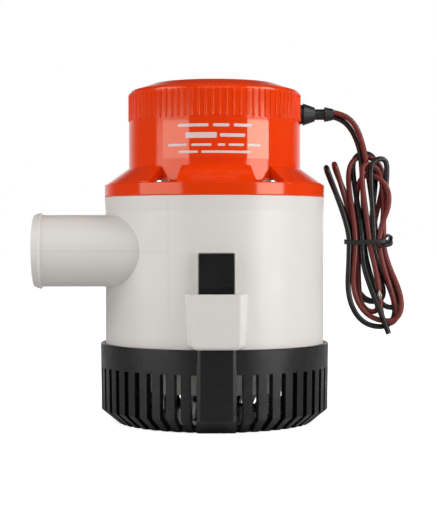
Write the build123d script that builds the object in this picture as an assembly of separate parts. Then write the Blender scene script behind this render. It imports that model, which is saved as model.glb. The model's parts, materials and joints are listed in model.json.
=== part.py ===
"""Submersible bilge pump: strainer base, white pump casing, motor housing and its wire leads.

Millimetres, +Z up. The origin is on the pump's axis at the underside of the strainer base.
The discharge nozzle points to -X, the cable gland to +X, and the front latch faces -Y.
"""

import math
import os

from build123d import *

# ---- driving dimensions -------------------------------------------------------------------
# shared
EDGE_BREAK = 0.5
FIT_GAP = 0.02

# strainer base
STRAINER_TOP_R = 63.2
STRAINER_LOW_R = 62.7
STRAINER_TOP_Z = 43.9
CREASE_Z = 7.5
FOOT_R = 53.5
FLOOR_T = 2.5
BAND_IN_R = 60.9
RIB_IN_R = 59.0
LEDGE_IN_R = 57.2
LEDGE_TOP_Z = 37.0
LEDGE_T = 3.0
SLOT_PITCH = 7.5
SLOT_W = 3.4
SLOT_TOP_Z = 31.0
SLOT_IN_R = 52.2
FLOOR_TOP_R = 50.4
HULL_SCREW_PCD = 84.0
HULL_HOLE_R = 2.4
HULL_BOSS_R = 6.0
HULL_BOSS_Z = 5.0

# latch arms, given for the front one
ARM_OUT_Y = -64.2
ARM_T = 3.0
ARM_W = 20.4
ARM_BEVEL_X = 1.8
ARM_BEVEL_Y = 1.2
ARM_TOP_Z = 93.6
ARM_FOOT_Z = 0.1
ARM_FOOT_IN_Y = -53.0
TAB_W = 17.9
BARB_OUT = 0.5
BARB_Z = 73.4
ARM_SIDE_GAP = 0.3

# pump casing
CASING_R = 60.4
CASING_IN_R = 57.8
CASING_BOTTOM_Z = 37.1
CASING_FLARE_Z = 116.0
CASING_TOP_Z = 124.0
RIM_R = 61.0
TOP_FLANGE_Z = 120.0
NECK_BORE_R = 41.0
BOSS_R = 4.6
BOSS_BOTTOM_Z = 104.0
POCKET_FACE_Y = -67.5
POCKET_FACE_W = 25.6
POCKET_ROOT_Y = -56.0
POCKET_LOW_Z = 44.2
POCKET_TOP_Z = 72.8
POCKET_LOW_ROOT_W = 30.6
POCKET_TOP_ROOT_W = 34.2
POCKET_CORNER_R = 3.0
POCKET_EDGE_R = 2.0
PASSAGE_FRONT_Y = -65.2
RECESS_Y = -58.3
RECESS_PAD_Y = -55.6
RECESS_PAD_W = 26.0
RECESS_W = 18.5
WINDOW_TOP_Z = 93.9
FRAME_W = 19.9
FRAME_TOP_Z = 94.6
FRAME_FACE_Y = -61.1

# discharge nozzle
NOZZLE_Y = -25.8
NOZZLE_Z = 94.8
NOZZLE_R = 19.25
NOZZLE_MOUTH_R = 18.0
NOZZLE_LIP_R = 19.5
NOZZLE_LIP_X = -96.6
NOZZLE_BEAD_R = 20.55
NOZZLE_BORE_R = 16.2
NOZZLE_END_X = -97.6
NOZZLE_BEAD_X = -93.8
NOZZLE_STEP_X = -92.7
NOZZLE_ROOT_X = -30.0
NOZZLE_BORE_END_X = -39.0

# impeller housing and suction cover
VOLUTE_R = 40.0
VOLUTE_IN_R = 37.5
DECK_T = 3.0
COVER_BOTTOM_Z = 17.8
COVER_T = 2.7
EYE_R = 15.0
STUD_RING_R = 32.0
STUD_START = -110.0
STUD_R = 2.5
STUD_BOTTOM_Z = 3.6
STUD_TOP_Z = 31.0
STUD_BOSS_R = 4.6
NUT_FLAT = 8.0
NUT_T = 4.0

# rotor
SHAFT_R = 4.0
SHAFT_BOTTOM_Z = 24.0
SHAFT_TOP_Z = 157.0
RUNNING_GAP = 0.05
IMPELLER_R = 26.5
IMPELLER_LOW_Z = 24.0
IMPELLER_PLATE_Z = 33.0
IMPELLER_TOP_Z = 35.6
IMPELLER_HUB_R = 8.0
VANE_COUNT = 6
VANE_T = 2.0
HUB_SCREW_R = 5.6
HUB_SCREW_Z = 20.6
CORE_R = 27.0
CORE_LOW_Z = 70.0
CORE_TOP_Z = 122.0
CORE_SLOTS = 12
CORE_SLOT_R = 3.2
CORE_MOUTH_W = 2.4
WINDING_IN_R = 8.0
WINDING_OUT_R = 24.0
WINDING_H = 9.0
COMMUTATOR_R = 11.0
COMMUTATOR_LOW_Z = 133.0
COMMUTATOR_TOP_Z = 144.5
COMMUTATOR_BARS = 12

# motor
CAN_R = 35.0
CAN_IN_R = 33.0
CAN_LOW_Z = 51.2
CAN_TOP_Z = 146.0
MAGNET_IN_R = 28.0
MAGNET_ARC = 150.0
MAGNET_LOW_Z = 66.0
MAGNET_TOP_Z = 126.0
BEARING_R = 8.0
BRUSH_PLATE_T = 3.5
BRUSH_W = 7.0
BRUSH_H = 8.0
BRUSH_Z = 139.0
BRUSH_OUT_R = 20.0
HOLDER_WALL = 0.8
HOLDER_OUT_R = 28.0

# motor housing
HOUSING_R = 47.6
HOUSING_IN_R = 45.0
HOUSING_TOP_Z = 165.4
RIM_TOP_Z = 131.0
SHOULDER_R = 59.5
SHOULDER_LOW_Z = 131.5
SHOULDER_TOP_Z = 140.0
SHOULDER_HALF_TOP = 19.1
SHOULDER_HALF_LOW = 21.7
SHOULDER_EDGE_DEG = 37.4
CANISTER_R = 38.0
CANISTER_IN_R = 35.4
CANISTER_FLOOR_Z = 47.0
CANISTER_NECK_R = 40.6
CANISTER_NECK_Z = 112.0
CHAMBER_Z = 127.0
SEAL_HUB_R = 12.0
SEAL_HUB_Z = 39.5
SEAL_R = 9.0
SCREW_RING_R = 53.0
SCREW_DEG = 31.2
SCREW_R = 2.0
SCREW_HEAD_R = 4.75
SCREW_HEAD_T = 1.5
SCREW_CROSS_L = 4.4
SCREW_CROSS_W = 0.9
WASHER_R = 5.1
WASHER_T = 0.4

# cap
CAP_R = 47.4
CAP_BEAD_TIP_R = 47.9
CAP_BEAD_R = 0.78
CAP_BEADS = 80
CAP_BEAD_TOP_Z = 180.2
CAP_CORNER_R = 3.5
CAP_SHOULDER_Z = 183.2
CAP_CROWN_R = 35.0
CAP_TOP_Z = 186.5
CAP_WALL = 2.8
CAP_SPIGOT_R = 44.8
CAP_SPIGOT_Z = 158.5

# gland and leads
GLAND_Z = 170.4
GLAND_FACE_X = 47.6
GLAND_END_X = 66.0
GLAND_THREAD_R = 4.4
GLAND_THREAD_X = 39.0
GLAND_SEAT_R = 6.3
GLAND_PAD_R = 4.9
GLAND_NUT_FLAT = 13.0
LEAD_D = 3.0
INNER_LEAD_D = 2.4

# label
LABEL_T = 0.2
LABEL_DEG = 72.0
LABEL_LOW_Z = 143.6
LABEL_TOP_Z = 164.1

BOTTOM = (Align.CENTER, Align.CENTER, Align.MIN)
TO_X = Rot(0, 90, 0)


# ---- helpers ------------------------------------------------------------------------------
def disc(radius, low, high):
    """Solid cylinder about the pump's axis, between two heights."""
    return Pos(0, 0, low) * Cylinder(radius, high - low, align=BOTTOM)


def ring(outer, inner, low, high):
    """Plain ring about the pump's axis, between two heights."""
    return disc(outer, low, high) - disc(inner, low - 1, high + 1)


def turned(*outline):
    """Solid turned about Z from its (radius, height) outline."""
    return revolve(Plane.XZ * make_face(Polyline(*outline, close=True)), Axis.Z)


def torus(radius, wire_r, height):
    """O-ring about the pump's axis."""
    return Pos(0, 0, height) * Torus(radius, wire_r)


def around(piece, angles):
    """Copies of a piece turned about the pump's axis, in degrees."""
    return [Rot(0, 0, angle) * piece for angle in angles]


def slab(x, y, z):
    """Box from its (low, high) pairs along X, Y and Z."""
    size = (x[1] - x[0], y[1] - y[0], z[1] - z[0])
    centre = ((x[0] + x[1]) / 2, (y[0] + y[1]) / 2, (z[0] + z[1]) / 2)
    return Pos(*centre) * Box(*size)


def both_sides(piece):
    """The front piece and its copy at the back."""
    return around(piece, (0, 180))


def group(pieces):
    """Separate equal solids as one node."""
    return Compound([solid for piece in pieces for solid in piece.solids()])


def stud_angles():
    """Angles of the suction cover's four studs."""
    return [STUD_START + 90 * k for k in range(4)]


def screw_places():
    """Four housing screw centres, two at the front and two at the back."""
    x = SCREW_RING_R * math.sin(math.radians(SCREW_DEG))
    y = SCREW_RING_R * math.cos(math.radians(SCREW_DEG))
    return [Pos(-x, -y, 0), Pos(x, -y, 0), Pos(x, y, 0), Pos(-x, y, 0)]


# ---- strainer -----------------------------------------------------------------------------
def make_strainer_base():
    """Floor, slotted wall, top band and the ledge that carries the pump."""
    shell = turned(
        (0, 0),
        (FOOT_R, 0),
        (STRAINER_LOW_R, CREASE_Z),
        (STRAINER_TOP_R, STRAINER_TOP_Z - EDGE_BREAK),
        (STRAINER_TOP_R - EDGE_BREAK, STRAINER_TOP_Z),
        (BAND_IN_R, STRAINER_TOP_Z),
        (BAND_IN_R, LEDGE_TOP_Z),
        (LEDGE_IN_R, LEDGE_TOP_Z),
        (LEDGE_IN_R, LEDGE_TOP_Z - LEDGE_T),
        (RIB_IN_R, SLOT_TOP_Z + 1),
        (RIB_IN_R, CREASE_Z + 1.5),
        (FLOOR_TOP_R, FLOOR_T),
        (0, FLOOR_T),
    )
    slot = slab((SLOT_IN_R, 75), (-SLOT_W / 2, SLOT_W / 2), (-1, SLOT_TOP_Z))
    slot_count = round(360 / SLOT_PITCH)
    angles = [(k + 0.5) * SLOT_PITCH for k in range(slot_count)]
    free = [a for a in angles if min(abs(a - 90), abs(a - 270)) > SLOT_PITCH]
    half = ARM_W / 2 + ARM_SIDE_GAP
    notch = slab((-half, half), (-75, ARM_FOOT_IN_Y + 0.4), (-1, 50))
    shell -= around(slot, free) + both_sides(notch)
    place = Pos(HULL_SCREW_PCD / 2, 0, 0)
    boss = place * disc(HULL_BOSS_R, FLOOR_T, HULL_BOSS_Z)
    hole = place * disc(HULL_HOLE_R, -1, HULL_BOSS_Z + 1)
    quarter = [45 + 90 * k for k in range(4)]
    return (shell + around(boss, quarter)) - around(hole, quarter)


def make_latch_arm():
    """Springy arm that rises from the floor's edge to the press tab in the casing's window."""
    in_y = ARM_OUT_Y + ARM_T
    outline = Polyline(
        (ARM_OUT_Y, ARM_TOP_Z),
        (ARM_OUT_Y, CREASE_Z),
        (-FOOT_R - 1.5, ARM_FOOT_Z),
        (ARM_FOOT_IN_Y, ARM_FOOT_Z),
        (ARM_FOOT_IN_Y, FLOOR_T),
        (in_y, CREASE_Z + 1.6),
        (in_y, ARM_TOP_Z),
        close=True,
    )
    arm = extrude(Plane.YZ * make_face(outline), ARM_W / 2, both=True)
    half = ARM_W / 2
    corner = Polyline(
        (half - ARM_BEVEL_X, ARM_OUT_Y),
        (half, ARM_OUT_Y + ARM_BEVEL_Y),
        (half + 1, ARM_OUT_Y + ARM_BEVEL_Y),
        (half + 1, ARM_OUT_Y - 1),
        (half - ARM_BEVEL_X, ARM_OUT_Y - 1),
        close=True,
    )
    bevel = Pos(0, 0, -1) * extrude(make_face(corner), 60)
    shoulder = slab((TAB_W / 2, 20), (-70, -55), (STRAINER_TOP_Z, 100))
    cuts = [bevel, mirror(bevel, Plane.YZ), shoulder, mirror(shoulder, Plane.YZ)]
    barb_outline = Polyline(
        (ARM_OUT_Y + 1, BARB_Z),
        (ARM_OUT_Y - BARB_OUT, BARB_Z),
        (ARM_OUT_Y, BARB_Z + 3),
        (ARM_OUT_Y + 1, BARB_Z + 3),
        close=True,
    )
    barb = extrude(Plane.YZ * make_face(barb_outline), TAB_W / 2, both=True)
    return arm - cuts + barb


# ---- pump casing --------------------------------------------------------------------------
def make_nozzle():
    """Outside of the hose tail, with its retaining bead at the mouth."""
    outline = [
        (0, 0),
        (NOZZLE_MOUTH_R, 0),
        (NOZZLE_LIP_R - 0.35, 0.35 * (NOZZLE_LIP_X - NOZZLE_END_X)),
        (NOZZLE_LIP_R, NOZZLE_LIP_X - NOZZLE_END_X),
        (NOZZLE_BEAD_R, NOZZLE_BEAD_X - NOZZLE_END_X),
        (NOZZLE_R, NOZZLE_STEP_X - NOZZLE_END_X),
        (NOZZLE_R, NOZZLE_ROOT_X - NOZZLE_END_X),
        (0, NOZZLE_ROOT_X - NOZZLE_END_X),
    ]
    return Pos(NOZZLE_END_X, NOZZLE_Y, NOZZLE_Z) * TO_X * turned(*outline)


def make_pocket():
    """Box on the casing's side that the latch arm runs through."""
    half = POCKET_FACE_W / 2

    def section(height, root_width):
        outline = Polyline(
            (-half, POCKET_FACE_Y),
            (half, POCKET_FACE_Y),
            (root_width / 2, POCKET_ROOT_Y),
            (-root_width / 2, POCKET_ROOT_Y),
            close=True,
        )
        return Pos(0, 0, height) * make_face(outline)

    ends = ((POCKET_LOW_Z, POCKET_LOW_ROOT_W), (POCKET_TOP_Z, POCKET_TOP_ROOT_W))
    box = loft([section(height, root_width) for height, root_width in ends])
    low_sides = [e for e in box.edges().group_by(Axis.Z)[0] if abs(e.center().X) > half - 1]
    box = fillet(low_sides, POCKET_CORNER_R)
    front = [e for e in box.edges().group_by(Axis.Y)[0] if abs(e.center().X) > half - 0.1]
    return fillet(front, POCKET_EDGE_R)


def make_pump_casing():
    """White outer shell with latch pockets, window frames, screw bosses and the nozzle."""
    outside = turned(
        (0, CASING_BOTTOM_Z),
        (CASING_R, CASING_BOTTOM_Z),
        (CASING_R, CASING_FLARE_Z),
        (RIM_R, CASING_TOP_Z - EDGE_BREAK),
        (RIM_R - EDGE_BREAK, CASING_TOP_Z),
        (0, CASING_TOP_Z),
    )
    frame_half = FRAME_W / 2
    frame = slab((-frame_half, frame_half), (FRAME_FACE_Y, -50), (POCKET_TOP_Z - 1, FRAME_TOP_Z))
    outside += both_sides(make_pocket()) + both_sides(frame) + [make_nozzle()]
    hollow = disc(CASING_IN_R, 0, TOP_FLANGE_Z)
    casing = outside - hollow - disc(NECK_BORE_R, 0, 200)

    pad_half = RECESS_PAD_W / 2
    pad = slab((-pad_half, pad_half), (-59.0, RECESS_PAD_Y), (CASING_BOTTOM_Z, WINDOW_TOP_Z + 2.5))
    bosses = [place * disc(BOSS_R, BOSS_BOTTOM_Z, TOP_FLANGE_Z + 1) for place in screw_places()]
    casing += both_sides(pad) + bosses

    bore = Cylinder(NOZZLE_BORE_R, NOZZLE_BORE_END_X - NOZZLE_END_X + 1, align=BOTTOM)
    casing -= Pos(NOZZLE_END_X - 1, NOZZLE_Y, NOZZLE_Z) * TO_X * bore

    half = RECESS_W / 2
    low_half = ARM_W / 2 + ARM_SIDE_GAP
    passage = slab((-half, half), (PASSAGE_FRONT_Y, RECESS_Y), (30, POCKET_TOP_Z + 1))
    window = slab((-half, half), (-75, RECESS_Y), (POCKET_TOP_Z, WINDOW_TOP_Z))
    low_notch = slab((-low_half, low_half), (-75, RECESS_Y), (30, POCKET_LOW_Z))
    pilot = disc(SCREW_R - 0.3, BOSS_BOTTOM_Z + 3, CASING_TOP_Z + 3)
    pilots = [place * pilot for place in screw_places()]
    return casing - both_sides(passage) - both_sides(window) - both_sides(low_notch) - pilots


def make_impeller_housing():
    """Deck that closes the casing, and the round chamber below it for the impeller."""
    floor_top = COVER_BOTTOM_Z + COVER_T
    deck_low = CASING_BOTTOM_Z + 0.4
    deck_top = deck_low + DECK_T
    body = turned(
        (VOLUTE_IN_R, floor_top),
        (VOLUTE_R, floor_top),
        (VOLUTE_R, deck_low),
        (CASING_IN_R - 0.05, deck_low),
        (CASING_IN_R - 0.05, deck_top),
        (VOLUTE_IN_R, deck_top),
    )
    flat_half = RECESS_PAD_W / 2 + 0.1
    flat = slab((-flat_half, flat_half), (-70, RECESS_PAD_Y + 0.05), (30, 50))
    boss = Pos(STUD_RING_R, 0, 0) * disc(STUD_BOSS_R, floor_top, STUD_TOP_Z + 1)
    web = slab((STUD_RING_R, VOLUTE_IN_R + 1), (-2, 2), (floor_top, STUD_TOP_Z + 1))
    hole = Pos(STUD_RING_R, 0, 0) * disc(STUD_R + FIT_GAP, 0, STUD_TOP_Z)
    body -= both_sides(flat)
    body += around(boss, stud_angles()) + around(web, stud_angles())
    return body - around(hole, stud_angles())


def make_suction_cover():
    """Round plate with the suction eye, under the impeller."""
    top = COVER_BOTTOM_Z + COVER_T
    lip = turned((EYE_R, COVER_BOTTOM_Z), (EYE_R + 2, top - 1), (EYE_R + 2, top + 2.6), (EYE_R, top + 2.6))
    plate = disc(VOLUTE_R, COVER_BOTTOM_Z, top) - disc(EYE_R, 0, 50)
    hole = Pos(STUD_RING_R, 0, 0) * disc(STUD_R + FIT_GAP, 0, 50)
    return plate + lip - around(hole, stud_angles())


def make_cover_studs():
    """Four stainless studs with turned tails that hold the suction cover."""
    tip = 1.0
    stud = turned(
        (0, STUD_BOTTOM_Z),
        (STUD_R - tip, STUD_BOTTOM_Z),
        (STUD_R, STUD_BOTTOM_Z + tip),
        (STUD_R, STUD_TOP_Z - 0.5),
        (0, STUD_TOP_Z - 0.5),
    )
    return group(around(Pos(STUD_RING_R, 0, 0) * stud, stud_angles()))


def make_cover_nuts():
    """Four hexagon nuts under the suction cover."""
    hexagon = RegularPolygon(NUT_FLAT / 2, 6, major_radius=False) - Circle(STUD_R + FIT_GAP)
    nut = Pos(STUD_RING_R, 0, COVER_BOTTOM_Z - NUT_T) * extrude(hexagon, NUT_T)
    return group(around(nut, stud_angles()))


# ---- rotor --------------------------------------------------------------------------------
def make_impeller():
    """Semi-open impeller: top plate, hub and swept vanes."""
    plate = turned(
        (0, IMPELLER_LOW_Z),
        (IMPELLER_HUB_R - 2, IMPELLER_LOW_Z),
        (IMPELLER_HUB_R, IMPELLER_PLATE_Z - 2),
        (IMPELLER_R, IMPELLER_PLATE_Z),
        (IMPELLER_R, IMPELLER_TOP_Z),
        (0, IMPELLER_TOP_Z),
    )
    sweep_line = ThreePointArc((IMPELLER_HUB_R - 2, 0), (16, 5), (IMPELLER_R - 1.2, 0))
    vane_height = IMPELLER_PLATE_Z - IMPELLER_LOW_Z
    vane = Pos(0, 0, IMPELLER_LOW_Z + 0.2) * extrude(trace(sweep_line, VANE_T), vane_height)
    vanes = around(vane, [360 * k / VANE_COUNT for k in range(VANE_COUNT)])
    return plate + vanes - disc(SHAFT_R + 0.01, 0, 50)


def make_impeller_screw():
    """Cap screw that holds the impeller on the shaft's end."""
    return turned(
        (0, HUB_SCREW_Z),
        (HUB_SCREW_R - 2.4, HUB_SCREW_Z),
        (HUB_SCREW_R, HUB_SCREW_Z + 1),
        (HUB_SCREW_R, SHAFT_BOTTOM_Z),
        (0, SHAFT_BOTTOM_Z),
    )


def make_armature_core():
    """Slotted lamination stack."""
    core = ring(CORE_R, SHAFT_R + 0.01, CORE_LOW_Z, CORE_TOP_Z)
    channel_r = CORE_R - 7.5
    half = CORE_MOUTH_W / 2
    channel = Pos(channel_r, 0, 0) * disc(CORE_SLOT_R, CORE_LOW_Z - 1, CORE_TOP_Z + 1)
    mouth = slab((channel_r, CORE_R + 1), (-half, half), (CORE_LOW_Z - 1, CORE_TOP_Z + 1))
    angles = [360 * k / CORE_SLOTS for k in range(CORE_SLOTS)]
    return core - around(channel + mouth, angles)


def make_armature_winding():
    """Copper end turns below and above the stack."""
    bundle = turned(
        (WINDING_IN_R, 0),
        (WINDING_IN_R - 1, 0.7 * WINDING_H),
        (0.6 * WINDING_OUT_R, WINDING_H),
        (WINDING_OUT_R - 2, 0.8 * WINDING_H),
        (WINDING_OUT_R, 0),
    )
    return group([Pos(0, 0, CORE_LOW_Z) * mirror(bundle, Plane.XY), Pos(0, 0, CORE_TOP_Z) * bundle])


def make_commutator():
    """Copper segments on an insulating sleeve, cut between the bars."""
    low, high = COMMUTATOR_LOW_Z, COMMUTATOR_TOP_Z
    body = ring(COMMUTATOR_R, SHAFT_R + 0.01, low, high)
    gap = slab((COMMUTATOR_R - 1.2, COMMUTATOR_R + 1), (-0.25, 0.25), (low - 1, high + 1))
    return body - around(gap, [360 * k / COMMUTATOR_BARS for k in range(COMMUTATOR_BARS)])


# ---- motor --------------------------------------------------------------------------------
def make_motor_can():
    """Steel can, closed at the bottom but for the bearing seat."""
    wall = CAN_R - CAN_IN_R
    can = disc(CAN_R, CAN_LOW_Z, CAN_TOP_Z) - disc(CAN_IN_R, CAN_LOW_Z + wall, CAN_TOP_Z + 1)
    return can - disc(BEARING_R + FIT_GAP, 0, 60)


def make_magnets():
    """Two ferrite arcs against the can's wall."""
    middle = ((MAGNET_IN_R + CAN_IN_R) / 2, (MAGNET_LOW_Z + MAGNET_TOP_Z) / 2)
    band = Rectangle(CAN_IN_R - 0.05 - MAGNET_IN_R, MAGNET_TOP_Z - MAGNET_LOW_Z)
    arc = Rot(0, 0, -MAGNET_ARC / 2) * revolve(Plane.XZ * Pos(*middle) * band, Axis.Z, MAGNET_ARC)
    return group(both_sides(arc))


def make_brush_plate():
    """Insulating end plate that carries the top bearing and the brush holders."""
    plate = disc(CAN_R, CAN_TOP_Z, CAN_TOP_Z + BRUSH_PLATE_T)
    plate += disc(BEARING_R + 3, CAN_TOP_Z, CAN_TOP_Z + 9)
    return plate - disc(BEARING_R + FIT_GAP, 0, 170)


def brush_block(width, height, inner, outer):
    """Box lying along +X at the brush level."""
    return slab((inner, outer), (-width / 2, width / 2), (BRUSH_Z - height / 2, BRUSH_Z + height / 2))


def make_brush_holders():
    """Two folded brass boxes under the end plate."""
    grow = 2 * HOLDER_WALL + 0.1
    inner = COMMUTATOR_R + 2
    holder = brush_block(BRUSH_W + grow, BRUSH_H + grow, inner, HOLDER_OUT_R)
    holder -= brush_block(BRUSH_W + 0.1, BRUSH_H + 0.1, inner - 1, HOLDER_OUT_R - HOLDER_WALL)
    top = BRUSH_Z + (BRUSH_H + grow) / 2
    holder += slab((inner + 4, inner + 8), (-3, 3), (top - 0.1, CAN_TOP_Z))
    return group(both_sides(holder))


def make_brush_springs():
    """Coil spring behind each brush."""
    length = HOLDER_OUT_R - HOLDER_WALL - BRUSH_OUT_R - 0.6
    coil = Helix(pitch=length / 4, height=length, radius=2.4)
    wire = sweep(Plane(coil @ 0, z_dir=coil % 0) * Circle(0.3), path=coil)
    spring = Pos(BRUSH_OUT_R + 0.3, 0, BRUSH_Z) * TO_X * wire
    return group(both_sides(spring))


# ---- motor housing ------------------------------------------------------------------------
def make_shoulder():
    """Sloping shoulder, cut by four screw recesses."""
    slope = turned(
        (HOUSING_R - 1, RIM_TOP_Z - 1),
        (SHOULDER_R, RIM_TOP_Z - 1),
        (SHOULDER_R, SHOULDER_LOW_Z),
        (HOUSING_R, SHOULDER_TOP_Z),
        (HOUSING_R - 1, SHOULDER_TOP_Z),
    )
    edge = math.radians(SHOULDER_EDGE_DEG)
    lean = (SHOULDER_HALF_LOW - SHOULDER_HALF_TOP) / (SHOULDER_R - HOUSING_R)
    near, far = 40.0, 66.0
    side = SHOULDER_HALF_TOP - lean * (HOUSING_R - near)
    outline = Polyline(
        (side, -near),
        (side + lean * (far - near), -far),
        (far * math.sin(edge), -far * math.cos(edge)),
        (near * math.sin(edge), -near * math.cos(edge)),
        close=True,
    )
    recess = Pos(0, 0, RIM_TOP_Z) * extrude(make_face(outline), 20)
    return slope - both_sides(recess) - both_sides(mirror(recess, Plane.YZ))


def make_motor_housing():
    """Orange housing: sealed canister below, flange and round wall above."""
    outside = turned(
        (0, SEAL_HUB_Z),
        (SEAL_HUB_R, SEAL_HUB_Z),
        (SEAL_HUB_R, CANISTER_FLOOR_Z),
        (CANISTER_R - 4, CANISTER_FLOOR_Z),
        (CANISTER_R, CANISTER_FLOOR_Z + 3),
        (CANISTER_R, CANISTER_NECK_Z - 3),
        (CANISTER_NECK_R, CANISTER_NECK_Z),
        (CANISTER_NECK_R, CASING_TOP_Z),
        (RIM_R - EDGE_BREAK, CASING_TOP_Z),
        (RIM_R, CASING_TOP_Z + EDGE_BREAK),
        (RIM_R, RIM_TOP_Z - EDGE_BREAK),
        (RIM_R - EDGE_BREAK, RIM_TOP_Z),
        (HOUSING_R, RIM_TOP_Z),
        (HOUSING_R, HOUSING_TOP_Z),
        (0, HOUSING_TOP_Z),
    )
    inside = turned(
        (0, CAN_LOW_Z),
        (CANISTER_IN_R, CAN_LOW_Z),
        (CANISTER_IN_R, CHAMBER_Z),
        (HOUSING_IN_R, CHAMBER_Z),
        (HOUSING_IN_R, HOUSING_TOP_Z + 1),
        (0, HOUSING_TOP_Z + 1),
    )
    bore = disc(SEAL_R, SEAL_HUB_Z - 1, SEAL_HUB_Z + 6.5) + disc(SHAFT_R + 0.4, SEAL_HUB_Z, 60)
    groove = ring(CANISTER_NECK_R + 1, CANISTER_NECK_R - 1.8, TOP_FLANGE_Z + 0.6, TOP_FLANGE_Z + 3.2)
    holes = [place * disc(SCREW_R + FIT_GAP, 110, 150) for place in screw_places()]
    return outside + make_shoulder() - inside - bore - groove - holes


def make_housing_screws():
    """Four pan-head screws, one in each recess of the shoulder."""
    top = RIM_TOP_Z + WASHER_T
    screw = turned(
        (0, BOSS_BOTTOM_Z + 5),
        (SCREW_R - 0.3, BOSS_BOTTOM_Z + 6),
        (SCREW_R - 0.3, CASING_TOP_Z),
        (SCREW_R, CASING_TOP_Z),
        (SCREW_R, top),
        (SCREW_HEAD_R, top),
        (SCREW_HEAD_R, top + 0.3 * SCREW_HEAD_T),
        (0.85 * SCREW_HEAD_R, top + 0.7 * SCREW_HEAD_T),
        (0.5 * SCREW_HEAD_R, top + SCREW_HEAD_T),
        (0, top + SCREW_HEAD_T),
    )
    cross = Pos(0, 0, top + SCREW_HEAD_T) * Box(SCREW_CROSS_L, SCREW_CROSS_W, SCREW_HEAD_T)
    screw -= [cross, Rot(0, 0, 90) * cross]
    return group([place * screw for place in screw_places()])


def make_screw_washers():
    """Four plain washers under the housing screws."""
    washer = ring(WASHER_R, SCREW_R + FIT_GAP, RIM_TOP_Z, RIM_TOP_Z + WASHER_T)
    return group([place * washer for place in screw_places()])


def make_label():
    """Thin film on the front of the housing's round wall."""
    middle = (LABEL_LOW_Z + LABEL_TOP_Z) / 2
    strip = Pos(HOUSING_R + LABEL_T / 2, middle) * Rectangle(LABEL_T, LABEL_TOP_Z - LABEL_LOW_Z)
    return Rot(0, 0, -90 - LABEL_DEG / 2) * revolve(Plane.XZ * strip, Axis.Z, LABEL_DEG)


# ---- cap ----------------------------------------------------------------------------------
def make_ribbed_cap():
    """Screw-on top cap with a fine beaded grip."""
    corner = CAP_SHOULDER_Z - CAP_CORNER_R
    edge = Polyline((0, CAP_TOP_Z), (CAP_CROWN_R, CAP_TOP_Z), (CAP_R - CAP_CORNER_R + 0.4, CAP_SHOULDER_Z))
    round_edge = ThreePointArc(
        (CAP_R - CAP_CORNER_R + 0.4, CAP_SHOULDER_Z),
        (CAP_R - 0.75, CAP_SHOULDER_Z - 1.05),
        (CAP_R, corner),
    )
    side = Polyline((CAP_R, corner), (CAP_R, HOUSING_TOP_Z), (0, HOUSING_TOP_Z), (0, CAP_TOP_Z))
    cap = revolve(Plane.XZ * make_face([edge, round_edge, side]), Axis.Z)
    bead_r = CAP_BEAD_TIP_R - CAP_BEAD_R
    low = HOUSING_TOP_Z + 1.2
    bead = Pos(bead_r, 0, low) * Cylinder(CAP_BEAD_R, CAP_BEAD_TOP_Z - low, align=BOTTOM)
    bead += Pos(bead_r, 0, low) * Sphere(CAP_BEAD_R)
    bead += Pos(bead_r, 0, CAP_BEAD_TOP_Z) * Sphere(CAP_BEAD_R)
    cap += around(bead, [360 * (k + 0.5) / CAP_BEADS for k in range(CAP_BEADS)])
    cap += disc(CAP_SPIGOT_R, CAP_SPIGOT_Z, HOUSING_TOP_Z)
    cap -= disc(CAP_SPIGOT_R - CAP_WALL, 0, CAP_SHOULDER_Z - CAP_WALL)
    cap -= ring(CAP_SPIGOT_R + 1, CAP_SPIGOT_R - 1.4, CAP_SPIGOT_Z + 2.0, CAP_SPIGOT_Z + 4.0)
    entry = Pos(30, 0, GLAND_Z) * TO_X * disc(GLAND_THREAD_R + FIT_GAP, 0, 30)
    seat = Pos(GLAND_FACE_X, 0, GLAND_Z) * TO_X * disc(GLAND_SEAT_R, 0, 5)
    pad = Pos(0, 0, GLAND_Z) * TO_X * disc(GLAND_PAD_R, CAP_R - 2, GLAND_FACE_X)
    pad -= disc(CAP_SPIGOT_R, 150, 190)
    return cap - seat + pad - entry


# ---- gland and leads ----------------------------------------------------------------------
def make_gland():
    """Strain relief with a flange, a cone and a barbed tail, as (radius, X) steps."""
    steps = [
        (GLAND_THREAD_R, GLAND_THREAD_X),
        (GLAND_THREAD_R, GLAND_FACE_X),
        (5.4, GLAND_FACE_X),
        (5.4, 49.2),
        (6.15, 49.3),
        (3.9, 55.7),
        (3.0, 55.9),
        (3.0, 60.9),
        (4.15, 61.2),
        (3.15, GLAND_END_X),
    ]
    outline = [(0, 0)] + [(r, x - GLAND_THREAD_X) for r, x in steps]
    outline.append((0, GLAND_END_X - GLAND_THREAD_X))
    return Pos(GLAND_THREAD_X, 0, GLAND_Z) * TO_X * turned(*outline)


def make_gland_nut():
    """Hexagon nut that clamps the gland from inside the cap."""
    hexagon = RegularPolygon(GLAND_NUT_FLAT / 2, 6, major_radius=False) - Circle(GLAND_THREAD_R + FIT_GAP)
    return Pos(GLAND_THREAD_X + 0.4, 0, GLAND_Z) * TO_X * extrude(hexagon, 1.8)


def tube(points, diameter, name):
    """Lead as straight runs joined by tangent arcs as large as the runs allow."""
    places = [Vector(*p) for p in points]
    radii = []
    for a, b, c in zip(places, places[1:], places[2:]):
        run = min((b - a).length, (c - b).length)
        turn = math.radians((b - a).get_angle(c - b))
        radii.append(0.45 * run / math.tan(turn / 2))
    path = FilletPolyline(*points, radius=radii)
    body = sweep(Plane(path @ 0, z_dir=path % 0) * Circle(diameter / 2), path=path)
    straight = math.pi * diameter**2 / 4 * path.length
    print(name, "length", round(path.length, 1), "radii", [round(r, 1) for r in radii])
    print(name, "volume over section times length", round(body.volume / straight, 4))
    return body


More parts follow.
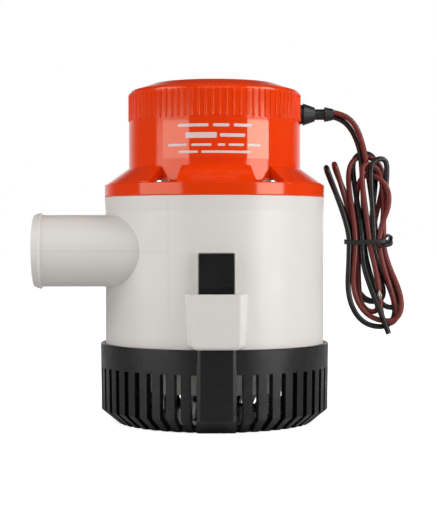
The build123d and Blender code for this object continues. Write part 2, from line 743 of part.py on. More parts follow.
BROWN_ROUTE = [
    (66.0, -1.1, 171.5),
    (72.6, -1.3, 170.2),
    (78.4, -1.6, 164.6),
    (81.6, -1.6, 157.0),
    (84.2, -1.5, 146.6),
]
BLACK_ROUTE = [
    (66.0, 1.1, 169.3),
    (71.2, 1.3, 167.8),
    (76.4, 1.6, 162.6),
    (79.8, 1.6, 155.6),
    (82.2, 1.6, 146.6),
]
# the hank's outline: height, centre X, half width, half depth
HANK_STATIONS = [
    (147.5, 85.0, 6.5, 3.6),
    (137.0, 80.5, 18.0, 6.5),
    (122.8, 83.3, 15.0, 6.5),
    (99.4, 84.7, 11.4, 4.6),
    (86.6, 86.5, 13.6, 6.0),
    (72.6, 89.7, 17.6, 7.0),
    (61.5, 90.7, 16.0, 7.0),
    (52.0, 92.6, 11.0, 5.5),
    (46.0, 95.0, 4.5, 2.5),
]
TIE_Z = 99.4
TIE_X = 84.7
TIE_HALF_W = 12.0
TIE_HALF_D = 5.2
TIE_T = 1.1
TIE_H = 2.6


def make_wire_hank():
    """Plain outer shape of the folded leads."""
    rings = [Pos(x, 0, z) * Ellipse(half_x, half_y) for z, x, half_x, half_y in HANK_STATIONS]
    return loft(rings, ruled=True)


def make_wire_tie():
    """Band round the hank's waist, with its twisted end."""
    outer = Ellipse(TIE_HALF_W + TIE_T, TIE_HALF_D + TIE_T)
    band = extrude(outer - Ellipse(TIE_HALF_W, TIE_HALF_D), TIE_H)
    twist = slab((TIE_HALF_W + 0.6, TIE_HALF_W + 4.5), (-2.2, 0.2), (-1.2, TIE_H))
    return Pos(TIE_X, 0, TIE_Z - TIE_H / 2) * (band + twist)


def make_inner_leads():
    """Short leads from the gland's inner end to the brush plate."""
    top = CAN_TOP_Z + BRUSH_PLATE_T
    route = [
        (GLAND_THREAD_X, 1.6, GLAND_Z),
        (34.4, 2.2, 169.8),
        (30.4, 4.6, 165.4),
        (28.0, 8.6, 159.0),
        (27.4, 12.0, top + 0.6),
    ]
    lead = tube(route, INNER_LEAD_D, "inner lead")
    return group([lead, mirror(lead, Plane.XZ)])


# ---- nodes --------------------------------------------------------------------------------
front_arm = make_latch_arm()
nodes = {
    "strainer_base": make_strainer_base(),
    "latch_arm_front": front_arm,
    "latch_arm_back": Rot(0, 0, 180) * front_arm,
    "pump_casing": make_pump_casing(),
    "impeller_housing": make_impeller_housing(),
    "suction_cover": make_suction_cover(),
    "cover_studs": make_cover_studs(),
    "cover_nuts": make_cover_nuts(),
    "impeller": make_impeller(),
    "impeller_screw": make_impeller_screw(),
    "shaft": disc(SHAFT_R, SHAFT_BOTTOM_Z, SHAFT_TOP_Z),
    "armature_core": make_armature_core(),
    "armature_winding": make_armature_winding(),
    "commutator": make_commutator(),
    "motor_can": make_motor_can(),
    "magnets": make_magnets(),
    "lower_bearing": ring(BEARING_R, SHAFT_R + RUNNING_GAP, CAN_LOW_Z + 0.1, CAN_LOW_Z + 8),
    "upper_bearing": ring(BEARING_R, SHAFT_R + RUNNING_GAP, CAN_TOP_Z + 0.2, CAN_TOP_Z + 8.8),
    "lower_shaft_seal": ring(SEAL_R, SHAFT_R + RUNNING_GAP, SEAL_HUB_Z + 0.2, SEAL_HUB_Z + 3.2),
    "upper_shaft_seal": ring(SEAL_R, SHAFT_R + RUNNING_GAP, SEAL_HUB_Z + 3.3, SEAL_HUB_Z + 6.3),
    "brush_plate": make_brush_plate(),
    "brush_holders": make_brush_holders(),
    "brushes": group(both_sides(brush_block(BRUSH_W, BRUSH_H, COMMUTATOR_R + RUNNING_GAP, BRUSH_OUT_R))),
    "brush_springs": make_brush_springs(),
    "motor_housing": make_motor_housing(),
    "housing_oring": torus(CANISTER_NECK_R - 0.7, 1.08, TOP_FLANGE_Z + 1.9),
    "housing_screws": make_housing_screws(),
    "screw_washers": make_screw_washers(),
    "label_film": make_label(),
    "ribbed_cap": make_ribbed_cap(),
    "cap_oring": torus(CAP_SPIGOT_R - 0.6, 0.78, CAP_SPIGOT_Z + 3.0),
    "cable_gland": make_gland(),
    "gland_nut": make_gland_nut(),
    "inner_leads": make_inner_leads(),
    "lead_brown": tube(BROWN_ROUTE, LEAD_D, "lead_brown"),
    "lead_black": tube(BLACK_ROUTE, LEAD_D, "lead_black"),
    "wire_hank": make_wire_hank(),
    "wire_tie": make_wire_tie(),
}

os.makedirs("parts", exist_ok=True)
for name, shape in nodes.items():
    export_step(shape, f"parts/{name}.step")
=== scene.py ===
"""Looks of the bilge pump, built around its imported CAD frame.

Everything is in the CAD's frame: +Z up, the pump's axis at X = Y = 0, the hose tail towards -X,
the cable gland towards +X and the front latch towards -Y. The object's pieces are given in
millimetres, which MM turns into metres; the camera, the floor and the lights are in metres.
"""
import json
import math

import bmesh
import bpy
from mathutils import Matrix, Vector


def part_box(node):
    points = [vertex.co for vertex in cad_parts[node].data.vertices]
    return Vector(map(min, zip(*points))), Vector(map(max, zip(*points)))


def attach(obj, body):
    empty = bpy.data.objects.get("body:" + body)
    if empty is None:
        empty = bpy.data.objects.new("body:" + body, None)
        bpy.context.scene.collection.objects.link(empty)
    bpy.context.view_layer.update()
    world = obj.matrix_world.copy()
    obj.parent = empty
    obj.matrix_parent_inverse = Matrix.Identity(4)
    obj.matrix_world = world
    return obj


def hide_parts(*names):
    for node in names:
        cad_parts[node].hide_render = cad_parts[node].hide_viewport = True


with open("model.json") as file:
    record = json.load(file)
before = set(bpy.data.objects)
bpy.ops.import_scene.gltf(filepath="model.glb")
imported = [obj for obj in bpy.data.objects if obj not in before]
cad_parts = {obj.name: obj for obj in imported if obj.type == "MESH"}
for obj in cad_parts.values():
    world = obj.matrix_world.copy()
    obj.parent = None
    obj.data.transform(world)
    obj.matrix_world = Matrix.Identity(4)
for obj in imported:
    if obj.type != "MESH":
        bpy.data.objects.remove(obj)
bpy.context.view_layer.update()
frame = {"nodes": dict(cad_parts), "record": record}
nodes = frame["nodes"]

MM = 0.001


def link(data, name):
    """A new scene object that holds this data."""
    obj = bpy.data.objects.new(name, data)
    bpy.context.scene.collection.objects.link(obj)
    return obj


def aim_at(obj, target):
    """Turns a camera or a light from its place to look at target."""
    obj.rotation_euler = (Vector(target) - obj.location).to_track_quat("-Z", "Y").to_euler()


# ---- camera -------------------------------------------------------------------------------
CAMERA_SENSOR_MM = 36
CAMERA_LENS_MM = 101.2
CAMERA_PLACE = (-0.014, -0.802, 0.1033)
CAMERA_TARGET = (0.0022, 0, 0.0916)


def add_camera():
    """Nearly level product shot, from a little above the middle of the pump's height."""
    data = bpy.data.cameras.new("camera")
    data.sensor_width = CAMERA_SENSOR_MM
    data.lens = CAMERA_LENS_MM
    camera = link(data, "camera")
    camera.location = CAMERA_PLACE
    aim_at(camera, CAMERA_TARGET)
    bpy.context.scene.camera = camera


add_camera()


# ---- leads --------------------------------------------------------------------------------
LEAD_D = 3.0
WAIST_Z = 99.4
BROWN_LENGTH = 0.854
BLACK_LENGTH = 0.699

# the corners of each lead's route: down from the gland to the hank, fold after fold through its
# waist, and the free end
BROWN_ROUTE = [
    (66.0, -1.1, 171.5), (72.6, -1.3, 170.2), (78.4, -1.6, 164.6), (81.6, -1.6, 157.0),
    (84.2, -1.5, 146.6), (90.2, 0.0, 106.4), (90.2, 0.0, 92.4), (93.0, -0.5, 57.2),
    (95.9, -0.6, 53.0), (101.2, -0.9, 55.3), (102.4, -1.0, 61.2), (91.6, -3.5, 92.4),
    (91.6, -3.5, 106.4), (97.8, -4.6, 121.4), (94.7, -3.5, 133.7), (84.0, -0.7, 138.2),
    (78.8, 0.4, 129.4), (80.1, 0.0, 106.4), (80.1, 0.0, 92.4), (80.8, 0.6, 67.9),
    (84.2, 0.9, 61.5), (90.5, 1.5, 59.8), (92.0, 1.8, 64.9), (81.9, 3.1, 92.4),
    (81.9, 3.1, 106.4), (68.3, 5.6, 138.6), (66.9, 3.6, 142.9), (66.8, -1.4, 142.9),
    (68.1, -3.4, 138.6), (78.3, 3.1, 106.4), (78.3, 3.1, 92.4), (76.9, 4.6, 77.4),
    (82.0, 4.6, 67.2), (92.3, 4.8, 65.0), (95.3, 4.8, 73.4), (88.5, 3.1, 92.4),
    (88.5, 3.1, 106.4), (95.4, 0.6, 134.9), (90.9, 4.0, 146.4), (78.6, 3.0, 147.6),
    (73.4, -1.2, 136.9), (78.3, -3.0, 106.4), (78.3, -3.0, 92.4), (76.4, -2.8, 72.0),
    (85.0, -2.8, 57.1), (101.4, -2.8, 54.3), (105.6, -2.8, 67.0), (94.2, -2.2, 92.4),
    (94.2, -2.2, 106.4), (93.8, -0.8, 133.5), (90.5, -1.1, 141.4), (83.4, -3.3, 143.6),
    (81.0, -4.8, 137.5), (85.5, -3.0, 106.4), (86.4, -3.2, 96.5), (88.6, -3.8, 88.0),
    (90.2, -4.2, 80.0), (91.4, -4.4, 72.9),
]
BLACK_ROUTE = [
    (66.0, 1.1, 169.3), (71.2, 1.3, 167.8), (76.4, 1.6, 162.6), (79.8, 1.6, 155.6),
    (82.2, 1.6, 146.6), (83.7, 0.0, 106.4), (83.7, 0.0, 92.4), (90.8, 0.4, 69.1),
    (95.0, 0.4, 63.1), (101.6, 0.6, 62.6), (102.6, 0.6, 68.1), (93.4, 0.4, 92.4),
    (93.4, 0.4, 106.4), (96.6, -1.8, 140.9), (94.3, -2.5, 146.1), (88.4, -4.3, 144.9),
    (86.0, -5.0, 138.9), (88.8, -3.0, 106.4), (88.8, -3.0, 92.4), (102.2, 0.8, 64.9),
    (98.5, -0.8, 51.5), (82.6, -2.2, 53.1), (73.8, -1.8, 67.9), (74.9, -3.0, 92.4),
    (74.9, -3.0, 106.4), (63.4, -5.4, 136.6), (62.1, -3.4, 140.9), (62.3, 1.8, 140.9),
    (63.8, 3.8, 136.6), (76.6, 0.0, 106.4), (76.6, 0.0, 92.4), (78.7, 2.6, 75.5),
    (84.2, 2.6, 66.8), (93.6, 2.8, 65.7), (95.5, 2.8, 73.5), (87.0, 0.0, 92.4),
    (87.0, 0.0, 106.4), (91.3, 2.6, 142.1), (88.0, 5.8, 149.3), (79.7, 5.4, 148.7),
    (76.5, 1.8, 141.1), (81.9, -3.0, 106.4), (82.0, -3.2, 94.0), (83.0, -4.0, 85.0),
    (85.8, -4.8, 76.0), (89.6, -5.4, 66.0), (93.4, -5.6, 57.0), (96.6, -5.4, 48.6),
]


def add_curve(name, detail=8, section=5):
    """Empty round-section curve object. Its bevel is 1 m deep, so a point's radius is the real one."""
    curve = bpy.data.curves.new(name, "CURVE")
    curve.dimensions = "3D"
    curve.resolution_u = detail
    curve.bevel_depth = 1.0
    curve.bevel_resolution = section
    curve.use_fill_caps = True
    return link(curve, name)


def add_spline(obj, points, thickness, closed=False):
    """Smooth spline pulled by its points; points and thickness are in millimetres."""
    spline = obj.data.splines.new("NURBS")
    spline.points.add(len(points) - 1)
    for target, point in zip(spline.points, points):
        target.co = (*(Vector(point) * MM), 1)
        target.radius = thickness / 2 * MM
    spline.order_u = 3
    spline.use_cyclic_u = closed
    spline.use_endpoint_u = not closed
    return spline


brown_route = [Vector(point) for point in BROWN_ROUTE]
black_route = [Vector(point) for point in BLACK_ROUTE]
brown_lead = add_curve("brown_lead")
black_lead = add_curve("black_lead")
add_spline(brown_lead, brown_route, LEAD_D)
add_spline(black_lead, black_route, LEAD_D)

# bare strands below the brown lead's insulation: how far apart and how deep inside it they start,
# where along them and how far they sag, and where they end
STRAND_D = 0.42
STRAND_SPREAD = 0.7
STRAND_INSIDE = 1.5
STRAND_SAG_AT = 0.6
STRAND_SAG = 0.4
STRAND_ENDS = [
    (90.5, -4.9, 69.6), (91.3, -5.0, 68.2), (92.0, -4.6, 67.6), (92.7, -4.4, 68.4),
    (93.1, -4.0, 69.4), (91.6, -4.0, 68.0), (90.9, -3.9, 69.0),
]


def add_strands(root):
    """Bare tinned strands that stick out of the brown lead's end, at root."""
    strands = add_curve("brown_lead_strands", detail=4)
    for k, end in enumerate(STRAND_ENDS):
        turn = 2 * math.pi * k / len(STRAND_ENDS)
        across = STRAND_SPREAD * Vector((math.cos(turn), math.sin(turn), 0))
        start = root + across + Vector((0, 0, STRAND_INSIDE))
        sag = start.lerp(Vector(end), STRAND_SAG_AT) - Vector((0, 0, STRAND_SAG))
        add_spline(strands, [start, sag, end], STRAND_D)
    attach(strands, "pump")
    return strands


# the tie: a flat band round the waist, two twisted strands and a tail across the front
TIE_MIDDLE_X = 84.6
TIE_HALF_X = 12.0
TIE_HALF_Y = 5.6
TIE_SQUARENESS = 0.62
TIE_POINTS = 28
TIE_WAVE = 0.25
TIE_WAVES = 3
TIE_HALF_H = 1.05
TIE_THICKNESS = 0.5
TIE_TWISTED_SIZE = 0.8
TIE_LOOP_HALF_TURNS = 1.1
TIE_STRAND_HALF_TURNS = 0.8
TIE_LOOP = [
    (92.0, -4.9, 98.9), (94.4, -4.0, 101.4), (96.2, -3.0, 103.4), (98.2, -2.6, 102.2),
    (98.9, -3.4, 100.0), (98.2, -5.0, 98.3), (95.6, -6.6, 97.6), (91.8, -7.4, 96.6),
    (88.3, -7.6, 95.6),
]
TIE_STRAND = [
    (91.6, 4.6, 99.6), (95.4, 2.0, 99.0), (97.6, -1.4, 98.6), (98.2, -2.8, 100.2),
    (96.6, -3.4, 101.2),
]


def tie_band_point(k):
    """Point k of the band: on a rounded rectangle round the waist, with a slight wave."""
    turn = 2 * math.pi * k / TIE_POINTS
    across, along = math.sin(turn), math.cos(turn)
    x = TIE_MIDDLE_X + math.copysign(TIE_HALF_X * abs(across) ** TIE_SQUARENESS, across)
    y = -math.copysign(TIE_HALF_Y * abs(along) ** TIE_SQUARENESS, along)
    return x, y, WAIST_Z + TIE_WAVE * math.sin(TIE_WAVES * turn)


def add_tie():
    """Twist tie as ribbons: the curve's extrusion is the ribbon's half height."""
    tie = add_curve("wire_tie_band", section=2)
    tie.data.extrude = TIE_HALF_H / (TIE_THICKNESS / 2)
    tie.data.twist_mode = "Z_UP"
    band = [tie_band_point(k) for k in range(TIE_POINTS)]
    add_spline(tie, band, TIE_THICKNESS, closed=True)
    for points, half_turns in (
        (TIE_LOOP, TIE_LOOP_HALF_TURNS),
        (TIE_STRAND, TIE_STRAND_HALF_TURNS),
    ):
        spline = add_spline(tie, points, TIE_THICKNESS)
        last = len(points) - 1
        for k, point in enumerate(spline.points):
            point.tilt = half_turns * math.pi * math.sin(math.pi * k / last)
            if 0 < k < last - 2:
                point.radius *= TIE_TWISTED_SIZE
    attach(tie, "pump")
    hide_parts("wire_tie")
    return tie


strands = add_strands(brown_route[-1])
tie = add_tie()
for lead, route, length, pieces in (
    (brown_lead, brown_route, BROWN_LENGTH, [strands, tie]),
    (black_lead, black_route, BLACK_LENGTH, []),
):
    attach(lead, "pump")
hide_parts("lead_brown", "wire_hank")
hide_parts("lead_black")


# ---- label print --------------------------------------------------------------------------
# plain bars in place of the label's lettering: (left, right, bottom, top) on the curved film
PRINT_BARS = [
    (-20.8, -4.0, 160.2, 161.8),
    (-1.6, 7.0, 160.2, 161.8),
    (9.4, 19.4, 160.2, 161.8),
    (-16.4, 0.4, 154.2, 157.2),
    (2.0, 15.6, 154.8, 156.6),
    (-26.6, -15.8, 150.0, 151.3),
    (-13.2, -2.4, 150.0, 151.3),
    (0.8, 4.8, 150.0, 151.3),
    (6.6, 15.0, 150.0, 151.3),
    (17.0, 24.8, 150.0, 151.3),
    (-20.4, -9.6, 146.3, 147.6),
    (-7.8, 18.8, 146.3, 147.6),
]
PRINT_CORNER = 0.5
PRINT_DEPTH = 0.06
PRINT_STEP = 0.35
PRINT_FEWEST_STEPS = 8


def add_label_print():
    """White bars of ink, each a thin shell that follows the film."""
    outer = -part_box("label_film")[0][1] / MM + PRINT_DEPTH / 2
    mesh = bmesh.new()
    for left, right, bottom, top in PRINT_BARS:
        steps = max(PRINT_FEWEST_STEPS, round((right - left) / PRINT_STEP))
        columns = []
        for k in range(steps + 1):
            x = left + (right - left) * k / steps
            inset = PRINT_CORNER - max(0.0, min(PRINT_CORNER, x - left, right - x))
            cut = PRINT_CORNER - math.sqrt(max(0.0, PRINT_CORNER**2 - inset**2))
            turn = x / outer
            column = []
            for radius in (outer, outer - PRINT_DEPTH):
                for z in (bottom + cut, top - cut):
                    place = Vector((radius * math.sin(turn), -radius * math.cos(turn), z))
                    column.append(mesh.verts.new(place * MM))
            columns.append(column)
        for (a, b, c, d), (e, f, g, h) in zip(columns, columns[1:]):
            for face in ((a, e, f, b), (d, h, g, c), (b, f, h, d), (c, g, e, a)):
                mesh.faces.new(face)
        mesh.faces.new([columns[0][i] for i in (0, 1, 3, 2)])
        mesh.faces.new([columns[-1][i] for i in (1, 0, 2, 3)])
    data = bpy.data.meshes.new("label_print")
    mesh.to_mesh(data)
    mesh.free()
    ink = link(data, "label_print")
    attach(ink, "pump")
    return ink


ink = add_label_print()


# ---- materials ----------------------------------------------------------------------------
def new_shader(name):
    """Empty node material: (material, node tree, its Principled shader)."""
    material = bpy.data.materials.new(name)
    material.use_nodes = True
    return material, material.node_tree, material.node_tree.nodes["Principled BSDF"]


def add_place(tree):
    """The shaded point in the object's own space."""
    return tree.nodes.new("ShaderNodeTexCoord").outputs["Object"]


def add_noise(tree, size_mm, detail=2.0, stretch=(1, 1, 1)):
    """Noise in object space with features of about this size; returns its factor."""
    mapping = tree.nodes.new("ShaderNodeMapping")
    mapping.inputs["Scale"].default_value = stretch
    noise = tree.nodes.new("ShaderNodeTexNoise")
    noise.inputs["Scale"].default_value = 1 / (size_mm * MM)
    noise.inputs["Detail"].default_value = detail
    tree.links.new(add_place(tree), mapping.inputs["Vector"])
    tree.links.new(mapping.outputs["Vector"], noise.inputs["Vector"])
    return noise.outputs["Fac"]


def add_range(tree, factor, low_from, high_from, low_to, high_to):
    """Maps a factor smoothly from one range to another."""
    node = tree.nodes.new("ShaderNodeMapRange")
    node.interpolation_type = "SMOOTHSTEP"
    node.inputs["From Min"].default_value = low_from
    node.inputs["From Max"].default_value = high_from
    node.inputs["To Min"].default_value = low_to
    node.inputs["To Max"].default_value = high_to
    tree.links.new(factor, node.inputs["Value"])
    return node.outputs["Result"]


def set_input(tree, target, value):
    """Feeds an input from a socket, a colour or a number."""
    if isinstance(value, bpy.types.NodeSocket):
        tree.links.new(value, target)
    elif target.type == "RGBA":
        target.default_value = (*value, 1)
    else:
        target.default_value = value


def add_mix(tree, factor, first, second):
    """Colour mix; first and second are colours or sockets."""
    node = tree.nodes.new("ShaderNodeMix")
    node.data_type = "RGBA"
    tree.links.new(factor, node.inputs["Factor"])
    colour_inputs = [i for i in node.inputs if i.type == "RGBA"]
    for target, value in zip(colour_inputs, (first, second)):
        set_input(tree, target, value)
    return [o for o in node.outputs if o.type == "RGBA"][0]


def add_math(tree, operation, first, second):
    """Math node; second is a socket or a number."""
    node = tree.nodes.new("ShaderNodeMath")
    node.operation = operation
    tree.links.new(first, node.inputs[0])
    set_input(tree, node.inputs[1], second)
    return node.outputs[0]


# rounded normal dot flat normal, where an edge starts to show and where it is full
EDGE_STARTS, EDGE_FULL = 0.98, 0.75
EDGE_SAMPLES = 4


def add_edges(tree, radius_mm):
    """(rounded normal, mask that is 1 on sharp edges) for a hard-edged solid."""
    bevel = tree.nodes.new("ShaderNodeBevel")
    bevel.samples = EDGE_SAMPLES
    bevel.inputs["Radius"].default_value = radius_mm * MM
    geometry = tree.nodes.new("ShaderNodeNewGeometry")
    dot = tree.nodes.new("ShaderNodeVectorMath")
    dot.operation = "DOT_PRODUCT"
    tree.links.new(bevel.outputs["Normal"], dot.inputs[0])
    tree.links.new(geometry.outputs["Normal"], dot.inputs[1])
    mask = add_range(tree, dot.outputs["Value"], EDGE_STARTS, EDGE_FULL, 0.0, 1.0)
    return bevel.outputs["Normal"], mask


def add_bump(tree, height, depth_mm, normal):
    """Bump of a real depth over a normal."""
    bump = tree.nodes.new("ShaderNodeBump")
    bump.inputs["Distance"].default_value = depth_mm * MM
    tree.links.new(height, bump.inputs["Height"])
    tree.links.new(normal, bump.inputs["Normal"])
    return bump.outputs["Normal"]


# the casing's parting lines: along the hose tail's middle, and up the casing where that line ends
SEAM_Z = 94.7
SEAM_X = -25.1
SEAM_LOW_Z = 60.0
SEAM_HALF_W = 0.16
SEAM_CORE = 0.3


def add_seams(tree):
    """Mask that is 1 on the casing's two parting lines."""
    split = tree.nodes.new("ShaderNodeSeparateXYZ")
    tree.links.new(add_place(tree), split.inputs["Vector"])
    x, y, z = (split.outputs[axis] for axis in "XYZ")

    def close_to(coordinate, value):
        away = add_math(tree, "SUBTRACT", coordinate, value * MM)
        gap = add_math(tree, "ABSOLUTE", away, 0.0)
        return add_range(tree, gap, SEAM_CORE * SEAM_HALF_W * MM, SEAM_HALF_W * MM, 1.0, 0.0)

    on_tail = add_math(tree, "LESS_THAN", x, SEAM_X * MM)
    level = add_math(tree, "MULTIPLY", close_to(z, SEAM_Z), on_tail)
    high = add_math(tree, "GREATER_THAN", z, SEAM_LOW_Z * MM)
    front = add_math(tree, "LESS_THAN", y, 0.0)
    upright = add_math(tree, "MULTIPLY", close_to(x, SEAM_X), high)
    upright = add_math(tree, "MULTIPLY", upright, front)
    return add_math(tree, "MAXIMUM", level, upright)


# moulded plastic: sizes of the patches of colour, of the lighter edges (partly rubbed wear, partly
# painted highlight) and of gloss
DRIFT_MM = 25.0
RUB_AND_HIGHLIGHT_MM = 3.0
GLOSS_MM = 9.0
GLOSS_SPREAD = 0.15
RUB_AND_HIGHLIGHT_LIFT = 0.01
SEAM_SHADE = 0.5
SCATTER_WEIGHT = 0.15
SCATTER_RADIUS = (1.0, 0.85, 0.75)

# metal: sizes of the patches of tone and of the grain, and the rounding of its edges
TONE_MM = 6.0
TONE_DARK = 0.86
GRAIN_MM = 0.3
GRAIN_DEPTH_MM = 0.003
METAL_EDGE_MM = 0.15
METAL_GLOSS = (0.75, 1.3)


def scaled(colour, share, lift=0.0):
    """The colour times share plus lift, with no channel above 1."""
    return tuple(min(1.0, c * share + lift) for c in colour)


def moulded(name, colour, roughness, drift=0.06, grain_mm=0.5, grain_depth_mm=0.004,
            wave_mm=18.0, wave_depth_mm=0.03, edge_mm=0.35, edge_light=1.25, scatter_mm=0.0,
            specular=0.5, seam_dark=0.0, tint=(1.0, 1.0, 1.0)):
    """Injection-moulded plastic: slow colour drift, fine grain, faint sink waves, and sharp edges
    lightened in patches, partly as rubbed wear and partly as a painted highlight.
    """
    material, tree, shader = new_shader(name)
    patches = add_noise(tree, DRIFT_MM)
    body = add_mix(tree, patches, scaled(colour, 1 - drift), scaled(colour, 1 + drift))
    if seam_dark:
        line = add_math(tree, "MULTIPLY", add_seams(tree), seam_dark)
        body = add_mix(tree, line, body, scaled(colour, SEAM_SHADE))
    rounded, edge = add_edges(tree, edge_mm)
    # sharp edges are lightened by edge_light in noisy patches: partly rubbed wear, partly a painted
    # highlight where light catches the edges
    rubbed_and_highlit = add_range(tree, add_noise(tree, RUB_AND_HIGHLIGHT_MM, 4.0), 0.42, 0.7, 0.15, 1.0)
    wear_and_highlight = add_math(tree, "MULTIPLY", edge, rubbed_and_highlit)
    shown = add_mix(tree, wear_and_highlight, body, scaled(colour, edge_light, RUB_AND_HIGHLIGHT_LIFT))
    tree.links.new(shown, shader.inputs["Base Color"])
    low, high = roughness * (1 - GLOSS_SPREAD), roughness * (1 + GLOSS_SPREAD)
    gloss = add_range(tree, add_noise(tree, GLOSS_MM, 3.0), 0.35, 0.65, low, high)
    tree.links.new(gloss, shader.inputs["Roughness"])
    wave = add_bump(tree, add_noise(tree, wave_mm, 1.0), wave_depth_mm, rounded)
    grain = add_bump(tree, add_noise(tree, grain_mm, 2.0), grain_depth_mm, wave)
    tree.links.new(grain, shader.inputs["Normal"])
    shader.inputs["Specular IOR Level"].default_value = specular
    shader.inputs["Specular Tint"].default_value = (*tint, 1.0)
    if scatter_mm:
        shader.inputs["Subsurface Weight"].default_value = SCATTER_WEIGHT
        shader.inputs["Subsurface Radius"].default_value = SCATTER_RADIUS
        shader.inputs["Subsurface Scale"].default_value = scatter_mm * MM
    return material


def metal(name, colour, roughness, brush=(1, 1, 1)):
    """Machined or drawn metal with a directional grain."""
    material, tree, shader = new_shader(name)
    shader.inputs["Metallic"].default_value = 1.0
    grain = add_noise(tree, GRAIN_MM, 3.0, brush)
    tone = add_mix(tree, add_noise(tree, TONE_MM, 2.0), scaled(colour, TONE_DARK), colour)
    tree.links.new(tone, shader.inputs["Base Color"])
    low, high = (roughness * share for share in METAL_GLOSS)
    tree.links.new(add_range(tree, grain, 0.3, 0.7, low, high), shader.inputs["Roughness"])
    rounded, _ = add_edges(tree, METAL_EDGE_MM)
    tree.links.new(add_bump(tree, grain, GRAIN_DEPTH_MM, rounded), shader.inputs["Normal"])
    return material


ORANGE = (0.80, 0.042, 0.0005)
WARM_SHINE = (0.96, 1.0, 0.80)
INSULATION = dict(drift=0.1, edge_light=1.0, grain_mm=1.0, grain_depth_mm=0.006, wave_mm=5.0,
                  wave_depth_mm=0.02)

# name: colour, roughness, and what differs from moulded()'s usual finish
MOULDED = {
    "white_plastic": ((0.73, 0.701, 0.664), 0.36, dict(
        drift=0.012, edge_light=1.05, grain_mm=0.8, grain_depth_mm=0.002, scatter_mm=1.0,
        seam_dark=0.35)),
    "orange_plastic": (ORANGE, 0.12, dict(
        drift=0.05, edge_light=1.15, specular=0.4, tint=WARM_SHINE, grain_mm=1.2,
        grain_depth_mm=0.0015, wave_mm=14.0, wave_depth_mm=0.02)),
    "black_plastic": ((0.0036, 0.0036, 0.0038), 0.31, dict(
        drift=0.15, edge_light=2.2, grain_mm=0.45, grain_depth_mm=0.006, specular=0.4)),
    "impeller_plastic": ((0.02, 0.02, 0.022), 0.45, dict(edge_light=2.0)),
    "brush_plate_plastic": ((0.10, 0.045, 0.02), 0.5, dict(edge_light=1.4)),
    "ferrite": ((0.05, 0.05, 0.052), 0.7, dict(grain_mm=0.3, grain_depth_mm=0.01)),
    "carbon": ((0.03, 0.03, 0.03), 0.6, dict(grain_mm=0.3, grain_depth_mm=0.01)),
    "rubber": ((0.012, 0.012, 0.012), 0.6, dict(edge_light=1.6)),
    "gland_rubber": ((0.011, 0.011, 0.0115), 0.4, dict(
        drift=0.15, edge_light=2.0, grain_mm=0.4, grain_depth_mm=0.008)),
    "label_film": (ORANGE, 0.06, dict(
        drift=0.03, edge_mm=0.1, edge_light=1.3, grain_mm=4.0, grain_depth_mm=0.004,
        wave_mm=9.0, wave_depth_mm=0.012, specular=0.6, tint=WARM_SHINE)),
    "wire_brown": ((0.17, 0.021, 0.015), 0.36, INSULATION),
    "wire_black": ((0.0050, 0.0048, 0.0048), 0.30, INSULATION),
    "label_ink": ((0.72, 0.60, 0.58), 0.3, dict(
        drift=0.05, edge_mm=0.1, edge_light=1.0, grain_mm=0.6, grain_depth_mm=0.004)),
    "tie_plastic": ((0.012, 0.012, 0.012), 0.45, dict(drift=0.15, edge_light=1.6, edge_mm=0.1)),
}

# name: colour, roughness, and how fine the grain is along X, Y and Z
METALS = {
    "tinned_copper": ((0.62, 0.58, 0.52), 0.28, (1, 1, 0.1)),
    "stainless": ((0.66, 0.65, 0.62), 0.22, (1, 1, 1)),
    "core_steel": ((0.30, 0.30, 0.31), 0.4, (0.05, 0.05, 3)),
    "can_steel": ((0.56, 0.56, 0.55), 0.32, (0.2, 0.2, 3)),
    "spring_steel": ((0.5, 0.5, 0.5), 0.25, (1, 1, 1)),
    "copper": ((0.75, 0.33, 0.17), 0.3, (0.3, 0.3, 3)),
    "bronze": ((0.55, 0.38, 0.2), 0.45, (1, 1, 1)),
    "brass": ((0.78, 0.58, 0.27), 0.3, (1, 1, 1)),
}

materials = {}
for name, (colour, roughness, finish) in MOULDED.items():
    materials[name] = moulded(name, colour, roughness, **finish)
for name, (colour, roughness, brush) in METALS.items():
    materials[name] = metal(name, colour, roughness, brush)


def dress(obj, slot):
    """Gives a piece its one material."""
    obj.data.materials.clear()
    obj.data.materials.append(materials[slot])


for part in frame["record"]["subparts"]:
    dress(nodes[part["node"]], part["material_slot"])
for piece, slot in (
    (brown_lead, "wire_brown"),
    (black_lead, "wire_black"),
    (strands, "tinned_copper"),
    (tie, "tie_plastic"),
    (ink, "label_ink"),
):
    dress(piece, slot)


# ---- floor, light -------------------------------------------------------------------------
FLOOR_HALF = 6.0
FLOOR_PATCH_MM = 400.0
FLOOR_DARK, FLOOR_PALE = (0.88, 0.88, 0.88), (0.91, 0.91, 0.91)
FLOOR_BOUNCE = (0.66, 0.66, 0.66)
FLOOR_ROUGHNESS = 0.9

# the floor's glow for the camera: distances from the pump, and its strength there
LIFT_FROM, LIFT_TO = 0.1, 2.5
LIFT_NEAR, LIFT_FAR = 0.72, 1.05

# the studio in reflections: its level over direction Y and how it changes over direction Z
STUDIO_Y, STUDIO_Z = (0.55, 1.0), (0.15, 0.45)
STUDIO_FRONT, STUDIO_BACK = 0.12, 0.90
STUDIO_ABOVE = (0.05, 0.05, 0.05)
WHITE = (1, 1, 1)

# name: azimuth in degrees (0 at the front, positive to the right), distance from the axis,
# height, size and radiance
LIGHTS = {
    "softbox_left": (-58, 1.2, 0.02, (1.08, 0.5), 3.5),
    "softbox_right": (57, 1.2, 0.02, (0.66, 0.5), 7.4),
    "softbox_top": (5, 1.0, 1.0, (1.0, 0.7), 1.4),
    "fill_left": (-72, 1.2, 0.95, (1.0, 0.7), 4.2),
    "fill_right": (72, 1.2, 0.95, (1.0, 0.7), 6.0),
}
LIGHT_TARGET = (0, 0, 0.09)


def seen_directly(tree):
    """1 for what the camera sees itself, 0 for reflections and bounced light."""
    return tree.nodes.new("ShaderNodeLightPath").outputs["Is Camera Ray"]


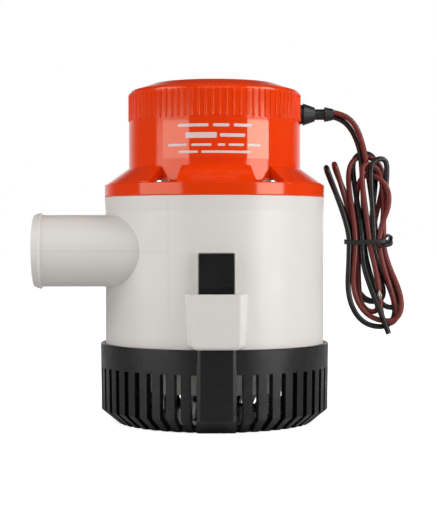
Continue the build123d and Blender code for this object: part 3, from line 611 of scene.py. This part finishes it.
def add_floor():
    """Plain pale floor that looks white but throws less light up at the pump."""
    half = FLOOR_HALF
    mesh = bpy.data.meshes.new("floor")
    corners = [(-half, -half, 0), (half, -half, 0), (half, half, 0), (-half, half, 0)]
    mesh.from_pydata(corners, [], [(0, 1, 2, 3)])
    floor = link(mesh, "floor")
    material, tree, shader = new_shader("floor")
    pale = add_mix(tree, add_noise(tree, FLOOR_PATCH_MM), FLOOR_DARK, FLOOR_PALE)
    shown = add_mix(tree, seen_directly(tree), FLOOR_BOUNCE, pale)
    tree.links.new(shown, shader.inputs["Base Color"])
    away = tree.nodes.new("ShaderNodeVectorMath")
    away.operation = "LENGTH"
    tree.links.new(add_place(tree), away.inputs[0])
    lift = add_range(tree, away.outputs["Value"], LIFT_FROM, LIFT_TO, LIFT_NEAR, LIFT_FAR)
    glow = add_math(tree, "MULTIPLY", lift, seen_directly(tree))
    tree.links.new(glow, shader.inputs["Emission Strength"])
    shader.inputs["Emission Color"].default_value = (*WHITE, 1)
    shader.inputs["Roughness"].default_value = FLOOR_ROUGHNESS
    shader.inputs["Specular IOR Level"].default_value = 0.0
    mesh.materials.append(material)


def add_world():
    """White backdrop around a dim studio that is brightest low behind the pump."""
    world = bpy.data.worlds.new("studio")
    world.use_nodes = True
    tree = world.node_tree
    place = tree.nodes.new("ShaderNodeTexCoord")
    split = tree.nodes.new("ShaderNodeSeparateXYZ")
    tree.links.new(place.outputs["Generated"], split.inputs["Vector"])
    level = add_range(tree, split.outputs["Y"], *STUDIO_Y, STUDIO_FRONT, STUDIO_BACK)
    above = add_range(tree, split.outputs["Z"], *STUDIO_Z, 0.0, 1.0)
    studio = add_mix(tree, above, level, STUDIO_ABOVE)
    shown = add_mix(tree, seen_directly(tree), studio, WHITE)
    tree.links.new(shown, tree.nodes["Background"].inputs["Color"])
    bpy.context.scene.world = world


def add_softbox(name, azimuth, distance, height, size, radiance):
    """Rectangular light that faces the pump."""
    data = bpy.data.lights.new(name, "AREA")
    data.shape = "RECTANGLE"
    data.size, data.size_y = size
    data.energy = radiance * math.pi * size[0] * size[1]
    light = link(data, name)
    turn = math.radians(azimuth)
    light.location = (distance * math.sin(turn), -distance * math.cos(turn), height)
    aim_at(light, LIGHT_TARGET)


add_floor()
add_world()
for name, setup in LIGHTS.items():
    add_softbox(name, *setup)

bpy.context.scene.view_settings.view_transform = "Standard"
